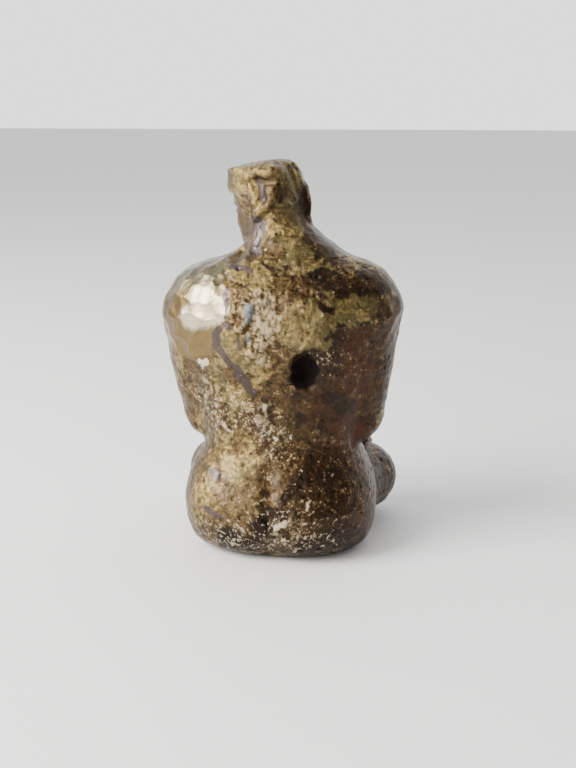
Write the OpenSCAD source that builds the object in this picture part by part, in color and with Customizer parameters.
// Seated figurine, cast in hollow sections that are pinned together.
// The figure faces -Y, +Z is up, and the origin is under the middle of the felt pad.

/* [Figure] */
// Overall height, from the underside of the felt to the crown
figure_h = 80; // [78:0.5:83]
// Width across the outsides of the shoulders
shoulder_w = 50; // [48:0.2:52]
// Width across the hips
hip_w = 40.6; // [38.6:0.2:41.8]
// Width at the waist
waist_w = 33; // [31.6:0.2:34]
// Depth from the front of the shins to the back of the seat
figure_d = 42; // [41:0.5:43]

/* [Head] */
// Height of the head from chin to crown
head_h = 18.4; // [17.4:0.2:19]
// Width of the head over the hair
head_w = 12.8; // [12:0.2:13.4]
// Depth of the head from the front of the hair to the back of it
head_d = 16; // [15:0.2:16.4]
// Turn of the head towards the figure's left
head_turn = 56; // [40:1:60]
// Tilt of the chin towards the chest
head_nod = 12; // [0:1:16]

/* [Limbs] */
// Radius of the shoulder cap
shoulder_r = 9.2; // [8.8:0.1:9.4]
// How much higher the right shoulder sits than the left
shoulder_rise = 1.8; // [0:0.2:2.2]
// Radius of the elbow
elbow_r = 4.4; // [4.1:0.1:4.6]
// Radius of the wrist
wrist_r = 2.9; // [2.6:0.1:3.1]
// Radius of the knee
knee_r = 7.2; // [6.6:0.1:7.4]
// Radius of the ankle
ankle_r = 3; // [2.8:0.1:3.2]

/* [Casting flaw] */
// Height of the deep casting flaw in the back
flaw_z = 39.8; // [38:0.2:41]
// How far the flaw sits to the right of the middle
flaw_x = 6.4; // [6:0.2:7.4]

/* [Joinery] */
// Distance of each shoulder's flat mating face from the middle
shoulder_cut = 11; // [10.6:0.1:11.6]
// Radius of the dowels in the neck, shoulders and thighs
dowel_r = 1.5; // [1.2:0.1:1.7]
// Length of the shoulder and thigh dowels
dowel_l = 9; // [8:0.5:9.5]
// Length of the neck dowel
neck_dowel_l = 11; // [9:0.5:12]
// Radial clearance of a dowel in its hole
dowel_gap = 0.03; // [0.02:0.01:0.1]
// Gap between two castings that meet
seam = 0.05; // [0.03:0.01:0.1]
// Radius of the turned spigot at the waist
spigot_r = 9; // [8.6:0.1:9.4]
// Length of the waist spigot
spigot_l = 3; // [2.5:0.1:3.4]

/* [Base] */
// Thickness of the felt pad
felt_t = 0.6; // [0.5:0.1:0.8]
// Thickness of the closing disc
disc_t = 1.2; // [1:0.1:1.6]
// Radius of the closing disc
disc_r = 9.6; // [9.2:0.1:10]
// Radius of the plugs in the core-pin holes
plug_r = 1.1; // [0.9:0.1:1.3]

/* [Hidden] */

left = 1;
right = -1;
back_y = figure_d / 2;
front_y = -figure_d / 2;
armpit_z = 40;
shoulder_y = 3.5;
shoulder_z = 48.2;
core_y = 2.8;         // middle of the waist spigot and of the round opening in the seat
ring_points = 36;     // points around a lofted section
ring_power = 2.4;     // roundness of a section: 2 is an ellipse
ball_fn = 20;         // facets around a joint of a limb
round_fn = 64;
far = 60;             // larger than any piece, for cutting

// Sections of the trunk from the seat up: height, half width, back, front, sideways shift.
waist_row = 5;
neck_row = 13;
trunk_rows = [
    [felt_t, hip_w / 2 - 2.8, back_y - 4, -9.8, 0],
    [2.6, hip_w / 2 - 1.2, back_y - 1.6, -10.8, 0],
    [6, hip_w / 2 - 0.2, back_y - 0.2, -11, 0],
    [11, hip_w / 2, back_y - 0.2, -11, 0],
    [16.5, hip_w / 2 - 1.3, back_y - 2.4, -10.6, 0],
    [22, waist_w / 2, 15.4, -10, 0],
    [28, waist_w / 2 + 0.8, 15, -10.4, 0],
    [36, 18.8, 16.4, -11, 0],
    [44, 20.4, 17.6, -11.2, 0],
    [50, 21.2, 17.2, -10.4, 0],
    [54.5, 20.6, 15.8, -8.8, 0],
    [57.4, 18.8, 13.8, -6.8, -0.2],
    [59.5, 15.8, 12.3, -5.6, -0.6],
    [61.3, 11.9, 11, -4.6, -1.5],
    [63.2, 9.3, 9.7, -4, -1.5],
    [65.2, 7.4, 8.6, -3.8, -0.7],
    [69, 5.6, 6.4, -4, 1.4],
    [72, 5, 5.4, -4.2, 2.2]
];
waist_z = trunk_rows[waist_row][0];
neck_z = trunk_rows[neck_row][0];

// Sections of the hollow inside the hips and the torso.
hip_core_rows = [
    [felt_t + disc_t - 1, 8, 11.5, -4.5, 0],
    [5, 9, 13, -5, 0],
    [10, 12.5, 16.4, -4.2, 0],
    [14, 12, 15, -4.5, 0],
    [waist_z - spigot_l, 7.6, 10.4, -4.8, 0]
];
torso_core_rows = [
    [26, 7, 9.6, -4.4, 0],
    [31, 8.2, 11.4, -6.6, 0],
    [37, 8.2, 12.4, -7, 0],
    [43, 6.4, 12, -6, 0],
    [48, 4.6, 10, -4, 0],
    [53, 3, 8, -1, 0]
];

// Joints of the limbs, on the left side: place and radius.
shoulder_x = shoulder_w / 2 - shoulder_r;
elbow = [[shoulder_x + 0.8, 2, 28], elbow_r];
wrist = [[14.4, -11.5, 20.2], wrist_r];
knuckles = [[14.2, -15.8, 17.2], wrist_r - 0.2];
fingertips = [[14.6, -18.9, 13.6], 1.9];
thigh = [[9.6, 2, 9.6], 7.6];
knee = [[16.3, -12.8, felt_t + knee_r + 0.8], knee_r];
near_ankle = [[-4, front_y + ankle_r, felt_t + ankle_r + 0.4], ankle_r];
near_toes = [[-11, -15.6, felt_t + 2.2], 2.2];
far_ankle = [[-5, -11.6, felt_t + ankle_r + 0.4], ankle_r];
far_toes = [[-11, -10.4, felt_t + 2.2], 2.2];

// The head in its own frame: the face looks along -Y and the middle is halfway up.
head_middle = [3, -0.6, figure_h - head_h / 2 - 0.7];
face_y = -head_d / 2 + 0.7;
skull_rows = [
    [-head_h / 2, 2.2, -2.6, face_y + 1, 0],
    [-head_h * 0.4, head_w / 2 - 2.5, 0.4, face_y + 0.2, 0],
    [-head_h * 0.2, head_w / 2 - 1.2, 4, face_y, 0],
    [head_h * 0.05, head_w / 2 - 0.7, 5.2, face_y + 0.2, 0],
    [head_h * 0.25, head_w / 2 - 0.5, 5.2, face_y + 0.1, 0],
    [head_h * 0.38, head_w / 2 - 1.4, 4.2, face_y + 1.4, 0]
];
hair_rows = [
    [-head_h * 0.26, head_w / 2 - 2.4, head_d / 2 - 2.4, 2, 0],
    [-head_h * 0.1, head_w / 2 - 0.7, head_d / 2 - 0.5, 0.4, 0],
    [head_h * 0.12, head_w / 2 - 0.1, head_d / 2 - 0.1, -2.6, 0],
    [head_h * 0.24, head_w / 2, head_d / 2, -head_d / 2 + 0.4, 0],
    [head_h * 0.36, head_w / 2 - 0.1, head_d / 2 - 0.4, -head_d / 2, 0],
    [head_h * 0.46, head_w / 2 - 1, head_d / 2 - 1.8, -head_d / 2 + 0.8, 0],
    [head_h / 2, head_w / 2 - 2.6, head_d / 2 - 4, -head_d / 2 + 2.6, 0]
];

// A smooth curve through rows of numbers: u = 2.5 is halfway between rows 2 and 3.
function cubic(a, b, c, d, t) =
    b + 0.5 * t * ((c - a) + t * ((2 * a - 5 * b + 4 * c - d) + t * (3 * (b - c) + d - a)));
function along(rows, u) =
    let (last = len(rows) - 1, i = min(floor(u), last - 1))
    cubic(rows[max(i - 1, 0)], rows[i], rows[i + 1], rows[min(i + 2, last)], u - i);

// One closed section: a rounded oval.
function bent(x) = sign(x) * pow(abs(x), 2 / ring_power);
function oval(row, grow = 0) = [
    for (i = [0:ring_points - 1])
        let (a = 360 * i / ring_points)
        [
            row[4] + (row[1] + grow) * bent(cos(a)),
            (row[2] + row[3]) / 2 + ((row[2] - row[3]) / 2 + grow) * bent(sin(a)),
            row[0]
        ]
];

// A closed solid through the rows from first to last, with steps sections to each row.
module loft(rows, first = 0, last = -1, steps = 3, grow = 0) {
    end = last < 0 ? len(rows) - 1 : last;
    count = (end - first) * steps;
    rings = [for (i = [0:count]) oval(along(rows, first + i / steps), grow)];
    n = ring_points;
    sides = [
        for (i = [0:count - 1], j = [0:n - 1])
            let (a = i * n + j, b = i * n + (j + 1) % n)
            each [[a, a + n, b], [b, a + n, b + n]]
    ];
    bottom = [for (j = [0:n - 1]) j];
    top = [for (j = [n - 1:-1:0]) count * n + j];
    polyhedron(points = [for (ring = rings) each ring], faces = concat(sides, [bottom, top]));
}

module ball(joint, grow = 0) {
    translate(joint[0]) sphere(r = joint[1] + grow, $fn = ball_fn);
}

// The stretch of a limb between two of its joints.
module limb(a, b, grow = 0) {
    hull() {
        ball(a, grow);
        ball(b, grow);
    }
}

module on_side(side) {
    if (side == left) children();
    else mirror([1, 0, 0]) children();
}

// A round peg centred on middle along the vector way, or the hole for one where gap is over 0.
module dowel(middle, way, length, gap) {
    turn = atan2(way[1], way[0]);
    tip = acos(way[2] / norm(way));
    translate(middle) rotate([0, tip, turn])
        cylinder(r = dowel_r + gap, h = length + 2 * gap, center = true, $fn = 48);
}

module neck_peg(gap) {
    dowel([-0.6, 3, neck_z], [0, 0, 1], neck_dowel_l, gap);
}

module shoulder_peg(gap) {
    dowel([shoulder_cut, shoulder_y, shoulder_z], [1, 0, 0], dowel_l, gap);
}

module thigh_peg(gap) {
    dowel([11.6, -7.4, 8.6], knee[0] - thigh[0], dowel_l, gap);
}

// The holes that the core's pins leave in the torso's wall: one in the back, one in the chest.
module core_pins(gap) {
    translate([-3.6, 14.4, 36]) rotate([-90, 0, 0]) cylinder(r = plug_r + gap, h = far, $fn = 36);
    translate([2.4, -9, 42]) rotate([90, 0, 0]) cylinder(r = plug_r + gap, h = far, $fn = 36);
}

module torso_outside() {
    loft(trunk_rows, waist_row, neck_row);
}

module flaw() {
    translate([-flaw_x, 17, flaw_z]) scale([2.1, 3, 3.2]) sphere(r = 1, $fn = 24);
}

module hips_outside(grow = 0) {
    loft(trunk_rows, 0, waist_row, grow = grow);
}

// The corner block that each shoulder takes out of the torso.
module shoulder_block(grow = 0) {
    translate([shoulder_cut - grow, -far / 2, armpit_z - grow]) cube(far);
}

// The left upper arm, or the mirror image of the right one.
module upper_arm(side, grow = 0) {
    rise = side == right ? shoulder_rise : 0;
    intersection() {
        limb([[shoulder_x, shoulder_y, shoulder_z + rise], shoulder_r], elbow, grow);
        translate([shoulder_cut - grow, -far / 2, 0]) cube([far, far, figure_h]);
    }
}

module torso() {
    lift = waist_z - spigot_l + seam;
    color("saddlebrown") difference() {
        union() {
            torso_outside();
            translate([0, core_y, lift]) cylinder(r = spigot_r, h = spigot_l + 1, $fn = round_fn);
        }
        loft(torso_core_rows, steps = 2);
        translate([0, core_y, lift - 1]) cylinder(r = spigot_r - 2.4, h = spigot_l + 6, $fn = round_fn);
        for (side = [left, right]) on_side(side) {
            shoulder_block(seam);
            upper_arm(side, seam);
            limb(elbow, wrist, seam);
            shoulder_peg(dowel_gap);
        }
        neck_peg(dowel_gap);
        core_pins(dowel_gap);
        flaw();
    }
}

module head() {
    color("darkgoldenrod") difference() {
        union() {
            translate([0, 0, seam]) loft(trunk_rows, neck_row);
            translate(head_middle) rotate([head_nod, 0, head_turn]) {
                loft(skull_rows);
                loft(hair_rows);
                hull() {
                    translate([0, face_y + 0.6, 2]) sphere(r = 0.8, $fn = 16);
                    translate([0, face_y - 0.3, -1.4]) sphere(r = 1, $fn = 16);
                }
            }
        }
        neck_peg(dowel_gap);
    }
}

module arm(side) {
    color("peru") difference() {
        union() {
            intersection() {
                torso_outside();
                on_side(side) shoulder_block();
            }
            on_side(side) {
                upper_arm(side);
                limb(elbow, wrist);
                limb(wrist, knuckles);
                limb(knuckles, fingertips);
            }
        }
        on_side(side) {
            limb(thigh, knee, seam);
            limb(knee, side == left ? near_ankle : far_ankle, seam);
            shoulder_peg(dowel_gap);
        }
    }
}

module left_arm() {
    arm(left);
}

module right_arm() {
    arm(right);
}

module hips() {
    color("sienna") difference() {
        hips_outside();
        loft(hip_core_rows, steps = 2);
        translate([0, core_y, waist_z - spigot_l - seam])
            cylinder(r = spigot_r + seam, h = spigot_l + 1, $fn = round_fn);
        translate([0, core_y, felt_t - 1])
            cylinder(r = disc_r + seam, h = disc_t + 1 + seam, $fn = round_fn);
        for (side = [left, right]) on_side(side) thigh_peg(dowel_gap);
    }
}

module left_leg() {
    color("chocolate") difference() {
        union() {
            limb(thigh, knee);
            limb(knee, near_ankle);
            limb(near_ankle, near_toes);
        }
        hips_outside(seam);
        mirror([1, 0, 0]) {
            limb(thigh, knee, seam);
            limb(knee, far_ankle, seam);
            limb(far_ankle, far_toes, seam);
        }
        thigh_peg(dowel_gap);
    }
}

module right_leg() {
    color("chocolate") mirror([1, 0, 0]) difference() {
        union() {
            limb(thigh, knee);
            limb(knee, far_ankle);
            limb(far_ankle, far_toes);
        }
        hips_outside(seam);
        thigh_peg(dowel_gap);
    }
}

module neck_dowel() {
    color("gold") neck_peg(0);
}

module shoulder_dowels() {
    color("gold") for (side = [left, right]) on_side(side) shoulder_peg(0);
}

module thigh_dowels() {
    color("gold") for (side = [left, right]) on_side(side) thigh_peg(0);
}

module core_plugs() {
    color("gold") intersection() {
        torso_outside();
        core_pins(0);
    }
}

module base_disc() {
    color("goldenrod") translate([0, core_y, felt_t]) cylinder(r = disc_r, h = disc_t, $fn = round_fn);
}

module felt_pad() {
    inset = 1.6;
    outline = [for (p = oval(trunk_rows[0], -inset)) [p[0], p[1]]];
    color("darkgreen") linear_extrude(felt_t) polygon(outline);
}

torso();
head();
left_arm();
right_arm();
hips();
left_leg();
right_leg();
neck_dowel();
shoulder_dowels();
thigh_dowels();
core_plugs();
base_disc();
felt_pad();
